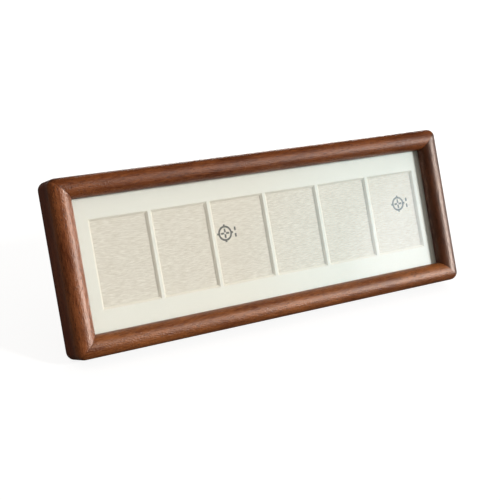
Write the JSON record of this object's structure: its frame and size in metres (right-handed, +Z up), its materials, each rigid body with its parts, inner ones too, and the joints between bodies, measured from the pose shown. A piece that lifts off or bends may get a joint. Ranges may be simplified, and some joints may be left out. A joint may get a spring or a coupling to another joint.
{
  "type": "tabletop picture frame",
  "caption": "Landscape wooden picture frame with a bevelled multi-window mat, leaning back on a folding easel strut.",
  "frame": {"origin": "on the table, at the middle of the frame's width and of its footprint from front to back", "axes": "+X to the right as seen from the front, along the long side; the picture faces -Y; +Z up"},
  "size_m": [0.32, 0.076, 0.1195],
  "materials": {
    "stained_hardwood": "reddish-brown stain under satin lacquer",
    "clear_glass": "clear picture glass",
    "cream_mat_board": "matte cream paper board with a white core",
    "ivory_card": "uncoated card with a fine streak",
    "corrugated_board": "raw kraft corrugated board",
    "brown_hardboard": "smooth hardboard",
    "nickelled_steel": "nickel plated",
    "bright_steel": "bright drawn steel",
    "brassed_steel": "brass plated"
  },
  "bodies": {
    "frame": {"rail_top": "stained_hardwood", "rail_bottom": "stained_hardwood", "stile_left": "stained_hardwood", "stile_right": "stained_hardwood", "glass_pane": "clear_glass", "mat_board": "cream_mat_board", "insert_card": "ivory_card", "filler_board": "corrugated_board", "backing_board": "brown_hardboard", "v_nail_top_left": "bright_steel", "v_nail_top_right": "bright_steel", "v_nail_bottom_left": "bright_steel", "v_nail_bottom_right": "bright_steel", "hinge_fixed_leaf": "nickelled_steel", "hinge_pin": "nickelled_steel", "backing_rivet_left": "nickelled_steel", "backing_rivet_right": "nickelled_steel", "button_screw_top_left": "brassed_steel", "button_screw_top_right": "brassed_steel", "button_screw_bottom_left": "brassed_steel", "button_screw_bottom_right": "brassed_steel", "button_screw_left": "brassed_steel", "button_screw_right": "brassed_steel", "sawtooth_hanger": "brassed_steel", "hanger_nail_left": "bright_steel", "hanger_nail_right": "bright_steel"},
    "strut": {"strut_board": "brown_hardboard", "hinge_moving_leaf": "nickelled_steel", "strut_rivet_left": "nickelled_steel", "strut_rivet_right": "nickelled_steel"},
    "button_top_left": {"turn_button_top_left": "brassed_steel"},
    "button_top_right": {"turn_button_top_right": "brassed_steel"},
    "button_bottom_left": {"turn_button_bottom_left": "brassed_steel"},
    "button_bottom_right": {"turn_button_bottom_right": "brassed_steel"},
    "button_left": {"turn_button_left": "brassed_steel"},
    "button_right": {"turn_button_right": "brassed_steel"}
  },
  "joints": [
    {"name": "strut_fold", "type": "hinge", "parent": "frame", "child": "strut", "pos_m": [0, 0.01657, 0.08139], "axis": [-1, 0, 0], "range_deg": [0, 33]},
    {"name": "button_top_left_swing", "type": "hinge", "parent": "frame", "child": "button_top_left", "pos_m": [-0.095, 0.02451, 0.10803], "axis": [0, 0.9397, -0.342], "range_deg": [-90, 90]},
    {"name": "button_top_right_swing", "type": "hinge", "parent": "frame", "child": "button_top_right", "pos_m": [0.095, 0.02451, 0.10803], "axis": [0, 0.9397, -0.342], "range_deg": [-90, 90]},
    {"name": "button_bottom_left_swing", "type": "hinge", "parent": "frame", "child": "button_bottom_left", "pos_m": [-0.095, -0.01328, 0.00419], "axis": [0, 0.9397, -0.342], "range_deg": [-90, 90]},
    {"name": "button_bottom_right_swing", "type": "hinge", "parent": "frame", "child": "button_bottom_right", "pos_m": [0.095, -0.01328, 0.00419], "axis": [0, 0.9397, -0.342], "range_deg": [-90, 90]},
    {"name": "button_left_swing", "type": "hinge", "parent": "frame", "child": "button_left", "pos_m": [-0.15525, 0.00561, 0.05611], "axis": [0, 0.9397, -0.342], "range_deg": [-90, 90]},
    {"name": "button_right_swing", "type": "hinge", "parent": "frame", "child": "button_right", "pos_m": [0.15525, 0.00561, 0.05611], "axis": [0, 0.9397, -0.342], "range_deg": [-90, 90]}
  ]
}
